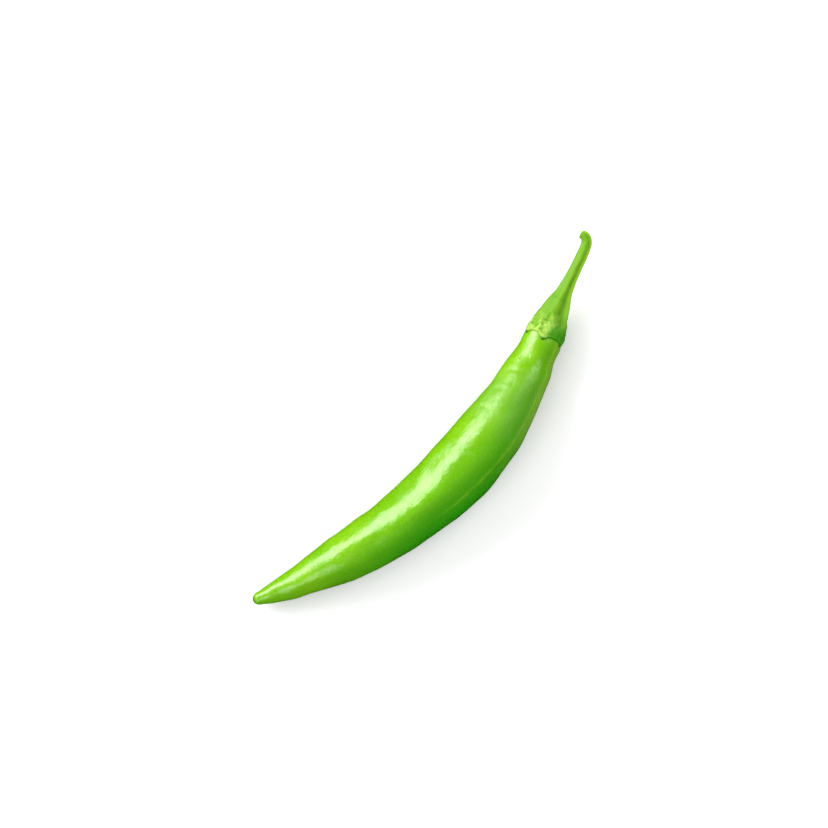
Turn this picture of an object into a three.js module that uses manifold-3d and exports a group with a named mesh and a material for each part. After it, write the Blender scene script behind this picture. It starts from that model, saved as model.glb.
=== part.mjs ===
// A green chilli pepper as picked, lying on its side on a flat surface. The pod tapers to a blunt tip and
// bows sideways, the calyx caps its shoulder, and the stem grows out of the calyx and hooks over at its cut
// end. Millimetres, +Z up. The origin is on the surface, under the middle of the chilli, and +X runs from
// tip to stem.
import * as THREE from "three";
import { mergeVertices } from "three/addons/utils/BufferGeometryUtils.js";
import Module from "manifold-3d";

const wasm = await Module();
wasm.setup();

// Driving dimensions.
const POD_LENGTH = 112; // along the bowed centreline, from the tip to where the hidden dome begins
const POD_RADIUS = 9.2; // at the belly
const SHOULDER_RADIUS = 4.7; // where the dome begins
const SHOULDER_DOME = 3.6; // height of the pod's rounded end
const CALYX_LENGTH = 11; // from its rim to its neck
const CALYX_SKIRT = 1.6; // how far the calyx reaches down the pod from where the dome begins
const CALYX_WALL = 0.35; // thickness at the rim
const NECK_RADIUS = 2.8; // where the calyx passes into the stem
const STEM_RADIUS = 1.5; // along its free half
const CUT_RADIUS = 1.1; // at its cut end
const FIT_GAP = 0.3; // left between neighbouring pieces
const RIBS = 5; // each runs from a tooth on the calyx's rim, over the calyx and up the stem
const RIB_HEIGHT = 0.06; // share of the radius, at the neck
const TOOTH_LENGTH = 1.3;
const LOBES = 3; // soft ones, along the pod
const LOBE_HEIGHT = 0.025; // share of the radius
const LOBE_TWIST = 1.2; // radians from tip to shoulder
const LOBE_TURN = 0.5; // radians, where they stand round the pod

// The centreline, from the tip to the stem's cut end: x along the chilli, y sideways, z above the surface.
const CENTRELINE = [
  [0, 0, 3.4],
  [10, -4.8, 4.1],
  [25, -10.2, 6.1],
  [45, -15.4, 7.85],
  [65, -17.4, 8.85],
  [85, -15.6, 7.65],
  [100, -11.8, 5.85],
  [115, -7, 6.35],
  [129.5, -2.6, 7.1],
  [132.2, -1.6, 7.2],
  [133.2, -0.9, 7.3],
  [133.7, 0.1, 7.3],
  [133.5, 1.3, 7.4],
].map((point) => new THREE.Vector3(...point));

// How thick the pod is, as [share of its length, share of POD_RADIUS].
const GIRTH = [
  [0.02, 0.2],
  [0.11, 0.45],
  [0.22, 0.655],
  [0.37, 0.83],
  [0.5, 0.94],
  [0.6, 1],
  [0.7, 0.96],
  [0.8, 0.84],
  [0.9, 0.67],
  [0.94, 0.585],
  [0.968, 0.6],
  [1, SHOULDER_RADIUS / POD_RADIUS],
];

// How thick the calyx is, as [share of its length, radius].
const FUNNEL = [
  [0, SHOULDER_RADIUS + FIT_GAP + CALYX_WALL],
  [0.15, SHOULDER_RADIUS + FIT_GAP + CALYX_WALL],
  [0.4, 4.6],
  [0.7, 3.7],
  [1, NECK_RADIUS],
];

// How thick the stem is, as [share of its length, radius].
const STALK = [
  [0, NECK_RADIUS],
  [0.15, 2.1],
  [0.35, 1.8],
  [0.6, STEM_RADIUS],
  [0.8, STEM_RADIUS],
  [0.9, 1.35],
  [1, CUT_RADIUS],
];

// Low swellings of the skin:
// [share of the pod's length, angle from the top, height, reach along, reach round].
const SWELLINGS = [
  [0.9, 1.6, 0.35, 4, 0.8],
  [0.84, -0.6, 0.25, 5, 0.8],
  [0.73, 0.9, 0.25, 7, 0.9],
  [0.33, 1.2, 0.25, 9, 1.1],
];

const POD_COLOUR = 0x7cc60a;
const CALYX_COLOUR = 0x7fb83a;
const STEM_COLOUR = 0x86bf42;

// How finely the pieces are divided: round the axis, and from end to end.
const POD_SEGMENTS = 36;
const POD_RINGS = 46;
const CALYX_SEGMENTS = 8 * RIBS;
const CALYX_RINGS = 9;
const STEM_SEGMENTS = 4 * RIBS;
const STEM_RINGS = 26;
const DOME_RINGS = 5;

const QUARTER_TURN = Math.PI / 2;
const UP = new THREE.Vector3(0, 0, 1);
const spine = new THREE.CatmullRomCurve3(CENTRELINE);
const SPINE_LENGTH = spine.getLength();
const RIM_AT = POD_LENGTH - CALYX_SKIRT;
const NECK_AT = RIM_AT + CALYX_LENGTH;

/** A smooth function through [x, y] points. */
function smoothThrough(points) {
  const spline = new THREE.CubicInterpolant(
    points.map(([x]) => x),
    points.map(([, y]) => y),
    1,
  );
  return (x) => spline.evaluate(x)[0];
}

const girth = smoothThrough(GIRTH);

/** The pod's radius at a distance from its tip, before lobes and swellings. */
function podRadius(distance) {
  const share = distance / POD_LENGTH;
  const [tipShare, tipGirth] = GIRTH[0];
  if (share < tipShare) {
    return POD_RADIUS * tipGirth * Math.sqrt(1 - (1 - share / tipShare) ** 2);
  }
  if (distance <= POD_LENGTH) return POD_RADIUS * girth(share);
  const rise = (distance - POD_LENGTH) / SHOULDER_DOME;
  return SHOULDER_RADIUS * Math.sqrt(Math.max(0, 1 - rise ** 2));
}

/** The soft lobes that run the length of the pod with a slight twist, fading out at both ends. */
function lobes(distance, angle) {
  const share = THREE.MathUtils.clamp(distance / POD_LENGTH, 0, 1);
  const wave = Math.cos(LOBES * angle - LOBE_TWIST * share + LOBE_TURN);
  return 1 + LOBE_HEIGHT * Math.sin(Math.PI * share) * wave;
}

/** The ribs that rise over the calyx, are highest at its neck and fade out along the stem. */
function ribs(distance, angle) {
  const rise = THREE.MathUtils.smoothstep(distance, POD_LENGTH, NECK_AT);
  const fade = 1 - THREE.MathUtils.smoothstep(distance, NECK_AT, SPINE_LENGTH);
  return 1 + RIB_HEIGHT * rise * fade * Math.cos(RIBS * angle);
}

/** How far the low swellings lift the skin at a distance from the tip. */
function swelling(distance, angle) {
  return SWELLINGS.reduce((sum, [share, at, height, along, round]) => {
    const away = (distance - share * POD_LENGTH) / along;
    const turn = Math.atan2(Math.sin(angle - at), Math.cos(angle - at)) / round;
    return sum + height * Math.exp(-(away ** 2) - turn ** 2);
  }, 0);
}

/** Evenly spaced numbers from start to end, both included. */
function spaced(start, end, steps) {
  return Array.from({ length: steps + 1 }, (_, i) => start + ((end - start) * i) / steps);
}

/**
 * Turns a profile of [radius, distance along the spine] into a closed body that follows the spine.
 * reshape(radius, distance, angle) may move each point; the angle runs from the top towards -Y.
 */
function sweep(profile, segments, reshape) {
  const geometry = new THREE.LatheGeometry(
    profile.map(([radius, distance]) => new THREE.Vector2(radius, distance)),
    segments,
  );
  geometry.deleteAttribute("normal");
  geometry.deleteAttribute("uv");
  const places = geometry.getAttribute("position");
  const at = new THREE.Vector3();
  for (let i = 0; i < places.count; i++) {
    at.fromBufferAttribute(places, i);
    const angle = Math.atan2(at.x, at.z);
    const [radius, distance] = reshape(Math.hypot(at.x, at.z), at.y, angle);
    const share = THREE.MathUtils.clamp(distance / SPINE_LENGTH, 0, 1);
    const along = spine.getTangentAt(share);
    const side = new THREE.Vector3().crossVectors(along, UP).normalize();
    const top = new THREE.Vector3().crossVectors(side, along);
    at.copy(spine.getPointAt(share))
      .addScaledVector(side, radius * Math.sin(angle))
      .addScaledVector(top, radius * Math.cos(angle));
    places.setXYZ(i, at.x, at.y, at.z);
  }
  return mergeVertices(geometry, 1e-4);
}

function toSolid(geometry) {
  return new wasm.Manifold(
    new wasm.Mesh({
      numProp: 3,
      vertProperties: geometry.getAttribute("position").array,
      triVerts: new Uint32Array(geometry.index.array),
    }),
  );
}

function toGeometry(solid) {
  const { vertProperties, triVerts } = solid.getMesh();
  return new THREE.BufferGeometry()
    .setAttribute("position", new THREE.BufferAttribute(vertProperties, 3))
    .setIndex(new THREE.BufferAttribute(triVerts, 1));
}

/** Presses the underside flat where it meets the surface, so that the pod has real faces to rest on. */
function restOnSurface(geometry) {
  const depth = 10;
  const below = new THREE.BoxGeometry(2 * SPINE_LENGTH, SPINE_LENGTH, depth);
  below.translate(0, 0, -depth / 2);
  below.deleteAttribute("normal");
  below.deleteAttribute("uv");
  return toGeometry(toSolid(geometry).subtract(toSolid(mergeVertices(below))));
}

/** Moves a point of the pod out to its lobes and swellings, which die away at its two closed ends. */
function podSurface(radius, distance, angle) {
  const keep = Math.min(1, radius / (GIRTH[0][1] * POD_RADIUS));
  return [radius * lobes(distance, angle) + keep * swelling(distance, angle), distance];
}

/** The fruit itself, one closed body from the tip to the dome under the calyx. */
function makePod() {
  const tipEnd = GIRTH[0][0] * POD_LENGTH;
  const tipRings = spaced(0, QUARTER_TURN, DOME_RINGS).map((turn) => tipEnd * (1 - Math.cos(turn)));
  const bodyRings = spaced(tipEnd, POD_LENGTH, POD_RINGS).slice(1);
  const domeRings = spaced(0, QUARTER_TURN, DOME_RINGS)
    .slice(1)
    .map((turn) => POD_LENGTH + SHOULDER_DOME * Math.sin(turn));
  const rings = [...tipRings, ...bodyRings, ...domeRings];
  const profile = rings.map((distance) => [podRadius(distance), distance]);
  profile[0][0] = 0;
  profile.at(-1)[0] = 0;
  return restOnSurface(sweep(profile, POD_SEGMENTS, podSurface));
}

/**
 * The cap over the shoulder: hollow inside, where the pod's dome sits. Its skirt hugs the pod's skin and
 * ends in small teeth.
 */
function makeCalyx() {
  const dome = spaced(QUARTER_TURN, 0, DOME_RINGS).map((turn) => [
    (SHOULDER_RADIUS + FIT_GAP) * Math.cos(turn),
    POD_LENGTH + (SHOULDER_DOME + FIT_GAP) * Math.sin(turn),
  ]);
  dome[0][0] = 0;
  const skirt = spaced(POD_LENGTH, RIM_AT, 2)
    .slice(1)
    .map((distance) => [SHOULDER_RADIUS + FIT_GAP, distance]);
  const funnel = smoothThrough(FUNNEL);
  const outside = spaced(0, 1, CALYX_RINGS).map((share) => [funnel(share), RIM_AT + share * CALYX_LENGTH]);
  const neck = [0, NECK_AT];
  return sweep([...dome, ...skirt, ...outside, neck], CALYX_SEGMENTS, (radius, distance, angle) => {
    const reach = THREE.MathUtils.clamp((POD_LENGTH - distance) / CALYX_SKIRT, 0, 1);
    const tooth = ((1 + Math.cos(RIBS * angle)) / 2) ** 2;
    const at = distance - TOOTH_LENGTH * tooth * reach;
    if (reach === 0) return [radius * ribs(distance, angle), at];
    const [skin] = podSurface(podRadius(at), at, angle);
    return [radius + skin - SHOULDER_RADIUS, at];
  });
}

/** The stalk, from the calyx's neck to its cut end. */
function makeStem() {
  const start = NECK_AT + FIT_GAP;
  const length = SPINE_LENGTH - start;
  const thickness = smoothThrough(STALK);
  const side = spaced(0, 1, STEM_RINGS).map((share) => [thickness(share), start + share * length]);
  const profile = [[0, start], ...side, [0, SPINE_LENGTH]];
  return sweep(profile, STEM_SEGMENTS, (radius, distance, angle) => {
    return [radius * ribs(distance, angle), distance];
  });
}

function makeMesh(name, geometry, color, roughness) {
  const material = new THREE.MeshStandardMaterial({ color, roughness, metalness: 0 });
  const mesh = new THREE.Mesh(geometry, material);
  mesh.name = name;
  return mesh;
}

const chilli = new THREE.Group();
chilli.add(
  makeMesh("pod", makePod(), POD_COLOUR, 0.3),
  makeMesh("calyx", makeCalyx(), CALYX_COLOUR, 0.6),
  makeMesh("stem", makeStem(), STEM_COLOUR, 0.55),
);

// The origin goes under the middle of the chilli's box.
const middle = new THREE.Box3().setFromObject(chilli).getCenter(new THREE.Vector3());
chilli.position.set(-middle.x, -middle.y, 0);

export default chilli;
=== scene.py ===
"""A green chilli pepper as picked, lying on its side: the glossy pod, the wrinkled calyx and the hooked stem.

Lengths are in millimetres until a mesh is made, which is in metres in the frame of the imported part. A point
of the chilli is given by its distance along the centreline from the tip, and its angle round the centreline,
from the top towards -Y. The flank of a point is the sine of that angle: -1 on the +Y side, 1 on the -Y side.
"""

import math

import bpy
import numpy as np
from mathutils import Matrix, Vector, noise


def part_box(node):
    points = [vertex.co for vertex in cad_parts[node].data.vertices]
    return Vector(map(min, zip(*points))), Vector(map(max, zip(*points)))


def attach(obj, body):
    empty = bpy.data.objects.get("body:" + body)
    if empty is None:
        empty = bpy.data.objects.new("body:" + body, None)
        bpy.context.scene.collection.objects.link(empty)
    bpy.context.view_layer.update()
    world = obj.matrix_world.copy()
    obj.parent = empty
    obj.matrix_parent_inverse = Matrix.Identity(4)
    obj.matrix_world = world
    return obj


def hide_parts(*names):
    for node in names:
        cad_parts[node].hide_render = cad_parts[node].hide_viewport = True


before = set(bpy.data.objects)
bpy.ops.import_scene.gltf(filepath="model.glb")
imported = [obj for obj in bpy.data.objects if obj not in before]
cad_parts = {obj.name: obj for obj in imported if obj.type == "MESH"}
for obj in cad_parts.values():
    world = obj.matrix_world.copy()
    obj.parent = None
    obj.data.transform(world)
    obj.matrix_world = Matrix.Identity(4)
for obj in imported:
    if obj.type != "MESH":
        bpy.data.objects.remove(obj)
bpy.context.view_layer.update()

MM = 0.001

# The centreline's points, tip to cut end, as the CAD part has them.
CENTRELINE = [
    (0, 0, 3.4),
    (10, -4.8, 4.1),
    (25, -10.2, 6.1),
    (45, -15.4, 7.85),
    (65, -17.4, 8.85),
    (85, -15.6, 7.65),
    (100, -11.8, 5.85),
    (115, -7, 6.35),
    (129.5, -2.6, 7.1),
    (132.2, -1.6, 7.2),
    (133.2, -0.9, 7.3),
    (133.7, 0.1, 7.3),
    (133.5, 1.3, 7.4),
]
POD_LENGTH = 112.0
POD_RADIUS = 9.2
SHOULDER_RADIUS = 4.7
SHOULDER_DOME = 3.6

# [share of the pod's length, share of its radius]
GIRTH = [
    (0.02, 0.2),
    (0.11, 0.45),
    (0.22, 0.655),
    (0.37, 0.83),
    (0.5, 0.94),
    (0.6, 1.0),
    (0.7, 0.96),
    (0.8, 0.84),
    (0.9, 0.67),
    (0.94, 0.585),
    (0.968, 0.6),
    (1.0, SHOULDER_RADIUS / POD_RADIUS),
]
TIP_END = GIRTH[0][0] * POD_LENGTH

# The pod's section is slightly three-lobed, and the lobes turn a little along it.
LOBES = 3
LOBE_HEIGHT = 0.025
LOBE_TWIST = 1.2
LOBE_TURN = 0.5

# [height, distance, angle, reach along, reach round]
SWELLINGS = [
    (0.35, 101, 1.6, 4, 0.8),
    (0.25, 94, -0.6, 5, 0.8),
    (-0.3, 104, -0.6, 3.6, 0.5),
    (0.25, 82, 0.9, 7, 0.9),
    (0.3, 57, 0.02, 9, 0.24),
    (0.25, 37, 1.2, 9, 1.1),
]

# [depth, distance, angle]: shallow creases across the upper side, most of them near the shoulder
CREASES = [
    (0.16, 84.5, -0.75),
    (0.12, 88.0, -0.3),
    (0.18, 91.0, -0.7),
    (0.12, 94.0, -0.25),
    (0.15, 97.5, -0.6),
    (0.1, 101.0, -0.1),
    (0.1, 75.0, -0.9),
    (0.1, 48.0, -0.2),
    (0.1, 56.0, 0.1),
]
CREASE_WIDTH = 0.9
CREASE_REACH = 0.35
CREASE_BOW = 1.5

# The seam starts on the belly and climbs towards the shoulder.
SEAM_HEIGHT = 0.12
SEAM_WIDTH = 0.055
SEAM_START = (50, 66)
SEAM_ANGLE = 0.66
SEAM_CLIMB = 0.25
SEAM_CLIMBS_OVER = (58, 105)

# Layers of soft lumps: [height, size, seed]
SKIN_LUMPS = [(0.34, 9.0, 3.1), (0.24, 4.2, 11.7), (0.045, 2.1, 5.3)]
CALYX_WRINKLES = [(0.32, 2.2, 21.3), (0.2, 1.1, 2.9), (0.08, 0.55, 14.2)]
STEM_ROUGHNESS = [(0.05, 0.8, 6.1), (0.04, 2.0, 16.1)]

# The calyx runs from its rim to its neck, where the stem takes over.
RIM_AT = 110.4
NECK_AT = 121.4
SKIRT_SHARE = 0.22  # the share of the calyx that lies on the pod
SKIN_GAP = 0.06  # between the pod's skin and the calyx that lies on it
RIM_THICKNESS = 0.38
SKIRT_THICKENING = 0.2
TOOTH_LENGTH = 1.3
RIM_SETBACK = 0.25  # how far the rim between two teeth lies back towards the stem
TOOTH_SHARPNESS = 3
TOOTH_SPREAD = 0.5  # how unevenly the teeth are spaced
RIBS = 5
RIB_HEIGHT = 0.075
RIB_SPREAD = 0.15

# Where the outside of the calyx changes, as shares of the way from its rim to its neck.
RIM_EDGE = (0, 0.035)
SKIRT_THICKENS = (0.03, 0.2)
SKIRT_TO_FUNNEL = (0.05, 0.24)
WRINKLES_START = (0.03, 0.1)
WRINKLES_END = (0.45, 0.95)

# The outside of the calyx and the stem: [distance, radius]
FUNNEL = [
    (RIM_AT, 5.25),
    (112, 5.3),
    (114.8, 4.6),
    (118.1, 3.7),
    (NECK_AT, 2.8),
    (123, 2.3),
    (126, 1.88),
    (131, 1.6),
    (136, 1.5),
    (138.6, 1.42),
    (140.4, 1.3),
    (141.8, 1.05),
]

# Rings that close the cut end, a rounded edge round a sunken face: [share of the radius, push outwards]
CUT_RINGS = [(0.93, 0.12), (0.8, 0.19), (0.62, 0.1), (0.4, -0.06), (0.15, -0.1)]


def spline(points, count):
    """A centripetal Catmull-Rom curve through the points, as count places evenly spaced in its parameter."""
    p = np.array(points, float)
    p = np.vstack([2 * p[0] - p[1], p, 2 * p[-1] - p[-2]])
    knots = np.concatenate([[0], np.cumsum(np.linalg.norm(np.diff(p, axis=0), axis=1) ** 0.5)])
    out = []
    for t in np.linspace(knots[1], knots[-2], count):
        i = min(max(int(np.searchsorted(knots, t, side="right")) - 1, 1), len(p) - 3)
        k = knots[i - 1 : i + 3]
        a = [
            p[i - 1 + j] + (p[i + j] - p[i - 1 + j]) * (t - k[j]) / (k[j + 1] - k[j])
            for j in range(3)
        ]
        b = [a[j] + (a[j + 1] - a[j]) * (t - k[j]) / (k[j + 2] - k[j]) for j in range(2)]
        out.append(b[0] + (b[1] - b[0]) * (t - k[1]) / (k[2] - k[1]))
    return np.array(out)


def smoothed(values, half_width):
    """Rounds off a dense row of values or places, leaving both ends where they are."""
    reach = np.arange(-3 * half_width, 3 * half_width + 1)
    weights = np.exp(-0.5 * (reach / half_width) ** 2)
    weights /= weights.sum()
    before = 2 * values[:1] - values[1 : len(reach) // 2 + 1][::-1]
    after = 2 * values[-1:] - values[-len(reach) // 2 : -1][::-1]
    padded = np.concatenate([before, values, after])
    if padded.ndim == 1:
        return np.convolve(padded, weights, "valid")[: len(values)]
    columns = [np.convolve(padded[:, j], weights, "valid")[: len(values)] for j in range(3)]
    return np.stack(columns, axis=1)


def resample(places, count):
    """The same curve as count places evenly spaced along it, and its length."""
    run = np.concatenate([[0], np.cumsum(np.linalg.norm(np.diff(places, axis=0), axis=1))])
    at = np.linspace(0, run[-1], count)
    return np.stack([np.interp(at, run, places[:, j]) for j in range(3)], axis=1), run[-1]


TABLE_COUNT = 800


def table(points, low, high, soft=8):
    """A smooth function of one number, through the points, as a lookup."""
    xs = np.array([x for x, _ in points], float)
    ys = np.array([y for _, y in points], float)
    slopes = np.gradient(ys, xs)
    at = np.linspace(low, high, TABLE_COUNT)
    i = np.clip(np.searchsorted(xs, at) - 1, 0, len(xs) - 2)
    width = xs[i + 1] - xs[i]
    u = np.clip((at - xs[i]) / width, 0, 1)
    values = (
        (2 * u**3 - 3 * u**2 + 1) * ys[i]
        + (u**3 - 2 * u**2 + u) * width * slopes[i]
        + (3 * u**2 - 2 * u**3) * ys[i + 1]
        + (u**3 - u**2) * width * slopes[i + 1]
    )
    values = smoothed(values, soft)
    return lambda x: np.interp(x, at, values)


SPINE_COUNT = 3000
SPINE_SOFTNESS = 12
spine, _ = resample(spline(CENTRELINE, SPINE_COUNT), SPINE_COUNT)
spine, SPINE_LENGTH = resample(smoothed(spine, SPINE_SOFTNESS), SPINE_COUNT)
spine_run = np.linspace(0, SPINE_LENGTH, SPINE_COUNT)
tangents = np.gradient(spine, axis=0)
tangents /= np.linalg.norm(tangents, axis=1)[:, None]
sides = np.cross(tangents, (0, 0, 1))
sides /= np.linalg.norm(sides, axis=1)[:, None]
tops = np.cross(sides, tangents)

girth = table(GIRTH, GIRTH[0][0], GIRTH[-1][0])
funnel = table(FUNNEL, FUNNEL[0][0], FUNNEL[-1][0], soft=5)


def along(rows, distance):
    return np.stack([np.interp(distance, spine_run, rows[:, j]) for j in range(3)], axis=-1)


def place(radius, distance, angle):
    """Where a point of the chilli is, in millimetres."""
    out = along(sides, distance) * np.sin(angle)[..., None]
    out += along(tops, distance) * np.cos(angle)[..., None]
    return along(spine, distance) + out * radius[..., None]


def smoothstep(x, low, high):
    u = np.clip((x - low) / (high - low), 0, 1)
    return u * u * (3 - 2 * u)


def around(angle, at):
    """The angle's distance from at, between -pi and pi."""
    return np.arctan2(np.sin(angle - at), np.cos(angle - at))


def lumps(points, layers):
    """Layers of smooth noise, each with its height, the distance between its bumps and its seed."""
    total = 0
    for height, size, seed in layers:
        flat = points.reshape(-1, 3) / size + seed
        values = np.array([noise.noise(Vector(p)) for p in flat])
        total = total + height * values.reshape(points.shape[:-1])
    return total


def round_place(radius, distance, angle, stretch):
    """A place for noise to be read at, with the centreline pulled straight."""
    return np.stack([radius * np.sin(angle), radius * np.cos(angle), distance * stretch], axis=-1)


def pod_radius(distance):
    """The pod's radius before its skin's own relief."""
    tip = GIRTH[0][1] * POD_RADIUS * np.sqrt(np.clip(1 - (1 - distance / TIP_END) ** 2, 0, 1))
    past = (distance - POD_LENGTH) / SHOULDER_DOME
    dome = SHOULDER_RADIUS * np.sqrt(np.clip(1 - past**2, 0, 1))
    body = POD_RADIUS * girth(distance / POD_LENGTH)
    return np.where(distance < TIP_END, tip, np.where(distance > POD_LENGTH, dome, body))


def pod_seam(distance, angle):
    """How much of the raised seam there is at a point, 0 to 1."""
    off = around(angle, SEAM_ANGLE + SEAM_CLIMB * smoothstep(distance, *SEAM_CLIMBS_OVER))
    return np.exp(-((off / SEAM_WIDTH) ** 2)) * smoothstep(distance, *SEAM_START)


def pod_skin(distance, angle):
    """The pod's radius with its lobes, swellings, seam, creases and lumps."""
    share = np.clip(distance / POD_LENGTH, 0, 1)
    body = pod_radius(distance)
    swing = np.cos(LOBES * angle - LOBE_TWIST * share + LOBE_TURN)
    lobes = 1 + LOBE_HEIGHT * np.sin(np.pi * share) * swing
    relief = SEAM_HEIGHT * pod_seam(distance, angle)
    for height, at, turn, reach, width in SWELLINGS:
        off = ((distance - at) / reach) ** 2 + (around(angle, turn) / width) ** 2
        relief += height * np.exp(-off)
    for depth, at, turn in CREASES:
        bowed = distance - at - CREASE_BOW * np.sin(angle - turn)
        off = (bowed / CREASE_WIDTH) ** 2 + (around(angle, turn) / CREASE_REACH) ** 2
        relief -= depth * np.exp(-off)
    relief += lumps(round_place(body, distance, angle, stretch=0.75), SKIN_LUMPS)
    # the relief fades out at the very tip and under the calyx
    fade = smoothstep(distance, 0, 8) * (1 - smoothstep(distance, POD_LENGTH - 1, POD_LENGTH + 2))
    return body * lobes + relief * fade


def grid_mesh(name, points):
    """A closed skin over rows of places: points[i, j] is ring i, place j."""
    rings, count = points.shape[:2]
    corners = np.vstack([points.reshape(-1, 3), points[0].mean(0), points[-1].mean(0)])
    i, j = np.meshgrid(np.arange(rings - 1), np.arange(count), indexing="ij")
    nxt = (j + 1) % count
    quads = np.stack([i * count + j, (i + 1) * count + j, (i + 1) * count + nxt, i * count + nxt], axis=-1)
    faces = quads.reshape(-1, 4).tolist()
    first = rings * count
    last = first + 1
    base = first - count
    faces += [(first, j, (j + 1) % count) for j in range(count)]
    faces += [(last, base + (j + 1) % count, base + j) for j in range(count)]
    mesh = bpy.data.meshes.new(name)
    mesh.from_pydata((corners * MM).tolist(), [], faces)
    mesh.validate()
    mesh.update()
    mesh.shade_smooth()
    piece = bpy.data.objects.new(name, mesh)
    bpy.context.scene.collection.objects.link(piece)
    return piece


def stored(piece, name, values, ends=(0, 0)):
    """Keeps one number for each corner of a piece, and for its two end points, for its material to read."""
    layer = piece.data.attributes.new(name, "FLOAT", "POINT")
    layer.data.foreach_set("value", np.append(values.ravel(), ends).astype(np.float32))


def ring_grid(distances, count):
    angle = np.linspace(0, 2 * np.pi, count, endpoint=False)
    return np.meshgrid(distances, angle, indexing="ij")


POD_AROUND = 160
CALYX_AROUND = 160
STEM_AROUND = 96


def pod_rings():
    """How far along the pod its rings are: the blunt tip, the body and the dome under the calyx."""
    pole_hole = 0.06  # how much of a quarter turn the end faces close
    tip = TIP_END * (1 - np.cos(np.linspace(pole_hole, math.pi / 2, 14)))
    body = np.linspace(TIP_END, POD_LENGTH, 540)[1:]
    dome = POD_LENGTH + SHOULDER_DOME * np.sin(np.linspace(0, math.pi / 2 - pole_hole, 10))[1:]
    return np.concatenate([tip, body, dome])


pod_at, pod_angle = ring_grid(pod_rings(), POD_AROUND)
pod_points = place(pod_skin(pod_at, pod_angle), pod_at, pod_angle)


def shift_to_frame():
    """How far the chilli's own points are from the part's frame, from where the CAD pod lies."""
    low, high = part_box("pod")
    x = (low.x + high.x) / 2 / MM - (pod_points[..., 0].min() + pod_points[..., 0].max()) / 2
    y = (low.y + high.y) / 2 / MM - (pod_points[..., 1].min() + pod_points[..., 1].max()) / 2
    return np.array([x, y, 0])


SHIFT = shift_to_frame()


def settle(points):
    """Presses the underside gently flat on the surface."""
    soft = 0.12
    z = points[..., 2]
    points[..., 2] = np.where(z > 6 * soft, z, soft * np.logaddexp(0, z / soft))
    return points


pod = grid_mesh("pod_skin", settle(pod_points + SHIFT))
stored(pod, "along", pod_at, (0, POD_LENGTH + SHOULDER_DOME))
stored(pod, "flank", np.sin(pod_angle))
stored(pod, "seam_highlight", pod_seam(pod_at, pod_angle))


def ribs(distance, angle):
    """The calyx's ribs, which rise from the pod, are strongest at the neck and fade along the stem."""
    rise = smoothstep(distance, POD_LENGTH - 1, NECK_AT)
    fade = 1 - smoothstep(distance, NECK_AT, SPINE_LENGTH + 6)
    return rise * fade * np.cos(RIBS * angle + RIB_SPREAD * np.sin(2 * angle))


def calyx_tooth(angle):
    """How far each place of the calyx's rim reaches down the pod, 0 to 1."""
    wave = (1 + np.cos(RIBS * angle + TOOTH_SPREAD * np.sin(angle + 0.6))) / 2
    return wave**TOOTH_SHARPNESS


def calyx_distance(share, angle):
    """How far along the centreline a place of the calyx is, by its share of the way from rim to neck."""
    at = RIM_AT + share * (NECK_AT - RIM_AT)
    skirt = np.clip(1 - share / SKIRT_SHARE, 0, 1)
    spots = np.stack([np.sin(angle) * 2, np.cos(angle) * 2, np.zeros_like(angle)], -1)
    uneven = 0.5 + lumps(spots, [(0.5, 1.3, 8.2)])
    return at - skirt * (TOOTH_LENGTH * calyx_tooth(angle) * (0.75 + 0.6 * uneven) - RIM_SETBACK)


def calyx_radius(share, distance, angle):
    """The outside of the calyx: a skirt that lies on the pod, then a ribbed and wrinkled funnel."""
    skirt = pod_skin(distance, angle) + SKIN_GAP
    skirt += RIM_THICKNESS * smoothstep(share, *RIM_EDGE)
    skirt += SKIRT_THICKENING * smoothstep(share, *SKIRT_THICKENS)
    blend = smoothstep(share, *SKIRT_TO_FUNNEL)
    radius = skirt * (1 - blend) + funnel(distance) * blend
    radius = radius * (1 + RIB_HEIGHT * ribs(distance, angle))
    wrinkle = lumps(round_place(radius, distance, angle, stretch=0.8), CALYX_WRINKLES)
    fade = smoothstep(share, *WRINKLES_START) * (1 - smoothstep(share, *WRINKLES_END))
    return radius + wrinkle * fade


def make_calyx():
    """The calyx's places, distances and angles: its inner face on the pod, then its outside to the neck."""
    inner_share, inner_angle = ring_grid(np.array([0.16, 0.08, 0.0]), CALYX_AROUND)
    inner_at = calyx_distance(inner_share, inner_angle)
    inner = place(pod_skin(inner_at, inner_angle) + SKIN_GAP, inner_at, inner_angle)
    fine_rim = np.linspace(0, 0.2, 16)
    share, angle = ring_grid(np.concatenate([fine_rim, np.linspace(0.2, 1, 60)[1:]]), CALYX_AROUND)
    at = calyx_distance(share, angle)
    outer = place(calyx_radius(share, at, angle), at, angle)
    return [np.concatenate(pair) for pair in ((inner, outer), (inner_at, at), (inner_angle, angle))]


calyx_points, calyx_at, calyx_angle = make_calyx()
calyx = grid_mesh("calyx_cap", calyx_points + SHIFT)
stored(calyx, "along", calyx_at, (RIM_AT, NECK_AT))
stored(calyx, "flank", np.sin(calyx_angle))
stored(calyx, "tooth", calyx_tooth(calyx_angle))


def make_stem():
    """The stem's places, distances and angles, with its cut end."""
    distance, angle = ring_grid(np.linspace(NECK_AT - 0.02, SPINE_LENGTH, 150), STEM_AROUND)
    radius = funnel(distance) * (1 + RIB_HEIGHT * ribs(distance, angle))
    rough = lumps(round_place(radius, distance, angle, stretch=0.3), STEM_ROUGHNESS)
    radius = radius + rough * smoothstep(distance, NECK_AT, NECK_AT + 2)
    points = [place(radius, distance, angle)]
    ats = [distance]
    angles = [angle]
    for share, push in CUT_RINGS:
        ring = place(radius[-1:] * share, distance[-1:], angle[-1:])
        points.append(ring + tangents[-1] * push)
        ats.append(distance[-1:] + 1 - share)
        angles.append(angle[-1:])
    return np.concatenate(points), np.concatenate(ats), np.concatenate(angles)


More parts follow.
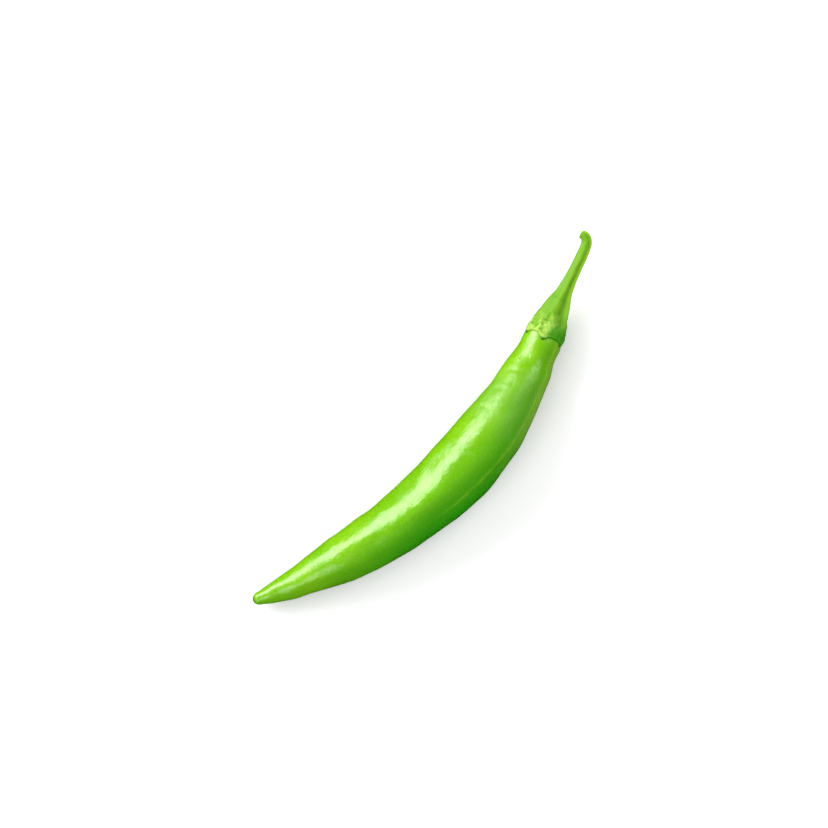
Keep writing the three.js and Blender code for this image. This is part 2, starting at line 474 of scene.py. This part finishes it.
stem_points, stem_at, stem_angle = make_stem()
stem = grid_mesh("stem_stalk", stem_points + SHIFT)
stored(stem, "along", stem_at, (NECK_AT, SPINE_LENGTH + 1))
stored(stem, "flank", np.sin(stem_angle))


class Nodes:
    """Builds a node material a node at a time."""

    def __init__(self, name):
        self.material = bpy.data.materials.new(name)
        self.material.use_nodes = True
        self.tree = self.material.node_tree
        self.shader = self.tree.nodes["Principled BSDF"]
        self.place = self.add("ShaderNodeTexCoord").outputs["Object"]

    def add(self, kind, sockets=None, **settings):
        node = self.tree.nodes.new(kind)
        for key, value in settings.items():
            setattr(node, key, value)
        for key, value in (sockets or {}).items():
            node.inputs[key].default_value = value
        return node

    def link(self, source, target):
        self.tree.links.new(source, target)

    def sheen(self, **sockets):
        """Sets constants on the shader, such as Subsurface_Scale."""
        for key, value in sockets.items():
            self.shader.inputs[key.replace("_", " ")].default_value = value

    def attribute(self, name):
        return self.add("ShaderNodeAttribute", attribute_name=name).outputs["Fac"]

    def noise(self, size, detail, rough, stretch=None):
        """Noise with features about size millimetres apart."""
        sockets = {"Scale": 1 / (size * MM), "Detail": detail, "Roughness": rough}
        node = self.add("ShaderNodeTexNoise", sockets)
        source = self.place
        if stretch:
            mapping = self.add("ShaderNodeMapping", {"Scale": stretch})
            self.link(source, mapping.inputs["Vector"])
            source = mapping.outputs["Vector"]
        self.link(source, node.inputs["Vector"])
        return node.outputs["Fac"]

    def cells(self, size):
        node = self.add("ShaderNodeTexVoronoi", {"Scale": 1 / (size * MM)}, feature="SMOOTH_F1")
        self.link(self.place, node.inputs["Vector"])
        return node.outputs["Distance"]

    def span(self, source, low, high, to_low=0.0, to_high=1.0):
        """Goes smoothly from to_low to to_high as the source goes from low to high."""
        sockets = {"From Min": low, "From Max": high, "To Min": to_low, "To Max": to_high}
        node = self.add("ShaderNodeMapRange", sockets, clamp=True, interpolation_type="SMOOTHSTEP")
        self.link(source, node.inputs["Value"])
        return node.outputs["Result"]

    def math(self, operation, a, b):
        node = self.add("ShaderNodeMath", operation=operation)
        for i, value in enumerate((a, b)):
            if isinstance(value, (int, float)):
                node.inputs[i].default_value = value
            else:
                self.link(value, node.inputs[i])
        return node.outputs["Value"]

    def both(self, a, b):
        return self.math("MULTIPLY", a, b)

    def mix(self, factor, a, b):
        node = self.add("ShaderNodeMix", data_type="RGBA")
        self.link(factor, node.inputs["Factor"])
        first_colour, second_colour, result = 6, 7, 2
        for key, value in ((first_colour, a), (second_colour, b)):
            if isinstance(value, tuple):
                node.inputs[key].default_value = (*value, 1)
            else:
                self.link(value, node.inputs[key])
        return node.outputs[result]

    def bump(self, height, distance, strength, under=None):
        node = self.add("ShaderNodeBump", {"Strength": strength, "Distance": distance * MM})
        self.link(height, node.inputs["Height"])
        if under is not None:
            self.link(under, node.inputs["Normal"])
        return node.outputs["Normal"]


SKIN_FRESH = (0.118, 0.295, 0.0004)
SKIN_PALE = (0.148, 0.325, 0.001)
SKIN_SPECKS = (0.08, 0.27, 0.0004)
# painted shade: the deep green of the belly's -Y flank
SKIN_PAINTED_SHADE = (0.018, 0.235, 0.0003)
# painted reflection: the pale floor mirrored in the shoulder's -Y flank
SKIN_PAINTED_REFLECTION = (0.28, 0.43, 0.06)
# painted highlight along the raised seam
SKIN_SEAM_HIGHLIGHT = (0.2, 0.38, 0.02)
SKIN_TIP = (0.02, 0.1, 0.001)


def pod_material():
    """Waxy skin: clouded light green above, with painted shade deepening the belly, a painted reflection
    paling the shoulder's outer flank and a painted highlight along the seam.
    """
    n = Nodes("chilli_skin")
    flank = n.attribute("flank")
    far = n.attribute("along")
    clouds = n.noise(14, 2, 0.5)
    colour = n.mix(n.span(clouds, 0.35, 0.7), SKIN_FRESH, SKIN_PALE)
    specks = n.span(n.noise(2.4, 3, 0.6), 0.45, 0.75, 0, 0.25)
    colour = n.mix(specks, colour, SKIN_SPECKS)
    # painted shade: the belly's green deepens towards the -Y side, with an uneven edge
    uneven_flank = n.math("ADD", flank, n.both(n.math("SUBTRACT", clouds, 0.5), 0.5))
    belly_painted_shade = n.both(n.span(far, 8, 54, 0.15, 1), n.span(far, 112, 62, 0.35, 1))
    colour = n.mix(n.both(n.span(uneven_flank, -0.6, 1.15), belly_painted_shade), colour, SKIN_PAINTED_SHADE)
    # painted reflection: the shoulder's -Y flank is paler, as if it mirrored the pale floor
    shoulder_painted_reflection = n.both(n.span(flank, 0.5, 0.95), n.span(far, 64, 96, 0, 0.45))
    colour = n.mix(shoulder_painted_reflection, colour, SKIN_PAINTED_REFLECTION)
    # painted highlight: a pale line along the raised seam, broken up by noise
    seam_highlight = n.both(n.attribute("seam_highlight"), n.span(n.noise(5, 3, 0.6), 0.3, 0.65, 0.1, 0.5))
    colour = n.mix(seam_highlight, colour, SKIN_SEAM_HIGHLIGHT)
    colour = n.mix(n.span(far, 0.9, 0.0), colour, SKIN_TIP)
    n.link(colour, n.shader.inputs["Base Color"])
    wax = n.span(n.noise(0.9, 3, 0.65), 0.3, 0.7, 0.18, 0.36)
    dull = n.both(n.span(far, 76, 86, 0, 0.17), n.span(far, 101, 96))
    n.link(n.math("ADD", wax, dull), n.shader.inputs["Roughness"])
    peel = n.bump(n.cells(0.6), 0.035, 0.45)
    n.link(n.bump(n.noise(1.7, 3, 0.65), 0.2, 0.75, peel), n.shader.inputs["Normal"])
    n.sheen(IOR=1.45, Specular_IOR_Level=0.72)
    n.sheen(Subsurface_Weight=0.12, Subsurface_Radius=(0.9, 1.0, 0.2), Subsurface_Scale=0.0015)
    return n.material


STALK_LIGHT = (0.125, 0.26, 0.008)
STALK_MID = (0.09, 0.235, 0.002)
# painted shade on the calyx's -Y side
STALK_PAINTED_SHADE = (0.04, 0.22, 0.001)
# painted reflection on the -Y side of the calyx and stem
STALK_PAINTED_REFLECTION = (0.24, 0.46, 0.035)
CALYX_PALE = (0.28, 0.41, 0.08)
CALYX_PITS = (0.06, 0.19, 0.005)
TOOTH_EDGE = (0.02, 0.1, 0.002)
CUT_FACE = (0.02, 0.06, 0.006)


def calyx_colour(n, flank, far, colour):
    """Pale blotches and dark pits near the rim, painted shade deepening the green on the -Y side and in a
    band by the rim on that side, and dark tooth edges.
    """
    pale = n.both(n.span(n.noise(1.7, 3, 0.65), 0.38, 0.6), n.span(far, 118, 113))
    colour = n.mix(pale, colour, CALYX_PALE)
    pits = n.both(n.span(n.noise(0.9, 2, 0.6), 0.55, 0.72), n.span(far, 119, 114))
    colour = n.mix(pits, colour, CALYX_PITS)
    # painted shade: a darker band by the rim on the -Y side
    rim_painted_shade = n.both(n.span(flank, -0.15, 0.3), n.span(far, 117, 112, 0, 0.9))
    colour = n.mix(rim_painted_shade, colour, STALK_PAINTED_SHADE)
    edge = n.both(n.span(far, 110.6, 109.6), n.attribute("tooth"))
    colour = n.mix(edge, colour, TOOTH_EDGE)
    # painted shade: deeper green towards the -Y side
    return n.mix(n.span(flank, 0.1, 0.95, 0, 0.7), colour, STALK_PAINTED_SHADE)


def stalk_material(name, is_calyx):
    """The duller, finely ridged green of the calyx and the stem, with a painted pale reflection along their
    -Y side from the calyx's skirt onward.
    """
    n = Nodes(name)
    flank = n.attribute("flank")
    far = n.attribute("along")
    ridges = n.noise(0.8, 3, 0.6, stretch=(0.18, 1, 1))
    colour = n.mix(n.span(ridges, 0.35, 0.65), STALK_MID, STALK_LIGHT)
    if is_calyx:
        colour = calyx_colour(n, flank, far, colour)
    else:
        colour = n.mix(n.span(far, SPINE_LENGTH + 0.2, SPINE_LENGTH + 0.5), colour, CUT_FACE)
    # painted reflection: a pale rim along the -Y side of the calyx and stem
    rim_painted_reflection = n.both(n.span(flank, 0.3, 0.95, 0, 0.9), n.span(far, 112, 119))
    colour = n.mix(rim_painted_reflection, colour, STALK_PAINTED_REFLECTION)
    n.link(colour, n.shader.inputs["Base Color"])
    n.link(n.span(ridges, 0.3, 0.7, 0.38, 0.6), n.shader.inputs["Roughness"])
    grain = n.bump(ridges, 0.12, 0.6)
    n.link(n.bump(n.noise(0.5, 2, 0.6), 0.04, 0.5, grain), n.shader.inputs["Normal"])
    n.sheen(Specular_IOR_Level=0.22)
    n.sheen(Subsurface_Weight=0.08, Subsurface_Radius=(0.8, 1.0, 0.3), Subsurface_Scale=0.001)
    return n.material


pod.data.materials.append(pod_material())
calyx.data.materials.append(stalk_material("calyx_green", True))
stem.data.materials.append(stalk_material("stem_green", False))

for piece, node, slot in (
    (pod, "pod", "pod_skin"),
    (calyx, "calyx", "calyx_skin"),
    (stem, "stem", "stem_skin"),
):
    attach(piece, "root")
    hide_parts(node)

FLOOR_SIZE = 2.0
FLOOR_GREY = 0.7


def make_floor():
    half = FLOOR_SIZE / 2
    corners = [(-half, -half, 0), (half, -half, 0), (half, half, 0), (-half, half, 0)]
    mesh = bpy.data.meshes.new("floor")
    mesh.from_pydata(corners, [], [(0, 1, 2, 3)])
    floor = bpy.data.objects.new("floor", mesh)
    bpy.context.scene.collection.objects.link(floor)
    n = Nodes("pale_floor")
    n.link(n.span(n.noise(60, 2, 0.5), 0.3, 0.7, 0.5, 0.56), n.shader.inputs["Roughness"])
    n.sheen(Base_Color=(FLOOR_GREY, FLOOR_GREY, FLOOR_GREY, 1))
    mesh.materials.append(n.material)
    # a white floor in reflections would bleach the deep green of the flanks, which is painted shade
    floor.visible_glossy = False
    return floor


make_floor()

# The camera looks straight down, turned so that the chilli rises to the right. Its picture's width takes in
# VIEW_WIDTH at the height of the chilli's outline.
RISE = math.radians(47.6)
VIEW_CENTRE = (67.0, 1.94)
VIEW_WIDTH = 223.6
VIEW_HEIGHT = 700.0
OUTLINE_HEIGHT = 8.0
SENSOR_WIDTH = 36


def add_camera():
    data = bpy.data.cameras.new("camera")
    data.sensor_width = SENSOR_WIDTH
    data.lens = SENSOR_WIDTH * (VIEW_HEIGHT - OUTLINE_HEIGHT) / VIEW_WIDTH
    data.clip_start = 0.01
    camera = bpy.data.objects.new("camera", data)
    bpy.context.scene.collection.objects.link(camera)
    right = Vector((math.cos(RISE), -math.sin(RISE), 0))
    up = Vector((math.sin(RISE), math.cos(RISE), 0))
    turn = Matrix((right, up, Vector((0, 0, 1)))).transposed()
    centre = Vector((VIEW_CENTRE[0] + SHIFT[0], VIEW_CENTRE[1] + SHIFT[1], VIEW_HEIGHT)) * MM
    camera.matrix_world = Matrix.Translation(centre) @ turn.to_4x4()
    bpy.context.scene.camera = camera


def add_light(name, direction, distance, size, power):
    """A soft panel that faces the chilli from a direction, in metres and watts."""
    data = bpy.data.lights.new(name, "AREA")
    data.shape = "RECTANGLE"
    data.size, data.size_y = size
    data.energy = power
    light = bpy.data.objects.new(name, data)
    bpy.context.scene.collection.objects.link(light)
    away = Vector(direction).normalized()
    light.location = away * distance
    light.rotation_mode = "QUATERNION"
    light.rotation_quaternion = away.to_track_quat("Z", "X")
    return light


def add_world(strength):
    """An even pale studio round the chilli that lights it but isn't mirrored in its skin."""
    world = bpy.data.worlds.new("studio")
    bpy.context.scene.world = world
    world.use_nodes = True
    background = world.node_tree.nodes["Background"]
    background.inputs["Color"].default_value = (1, 1, 1, 1)
    background.inputs["Strength"].default_value = strength
    world.cycles_visibility.glossy = False


add_camera()
add_light("key", direction=(-0.05, 0.9, 0.44), distance=0.8, size=(0.5, 0.7), power=8.8)
add_light("tip_end", direction=(-0.8, 0.05, 0.6), distance=0.9, size=(0.5, 0.5), power=2.5)
add_light("stem_end", direction=(0.8, -0.1, 0.6), distance=0.9, size=(0.5, 0.5), power=2.5)
fill = add_light("fill", direction=(0, -0.45, 0.9), distance=1.2, size=(1.2, 1.2), power=2.5)
fill.visible_glossy = False
add_world(0.8)
bpy.context.scene.view_settings.view_transform = "Standard"
bpy.context.scene.view_settings.look = "Medium High Contrast"
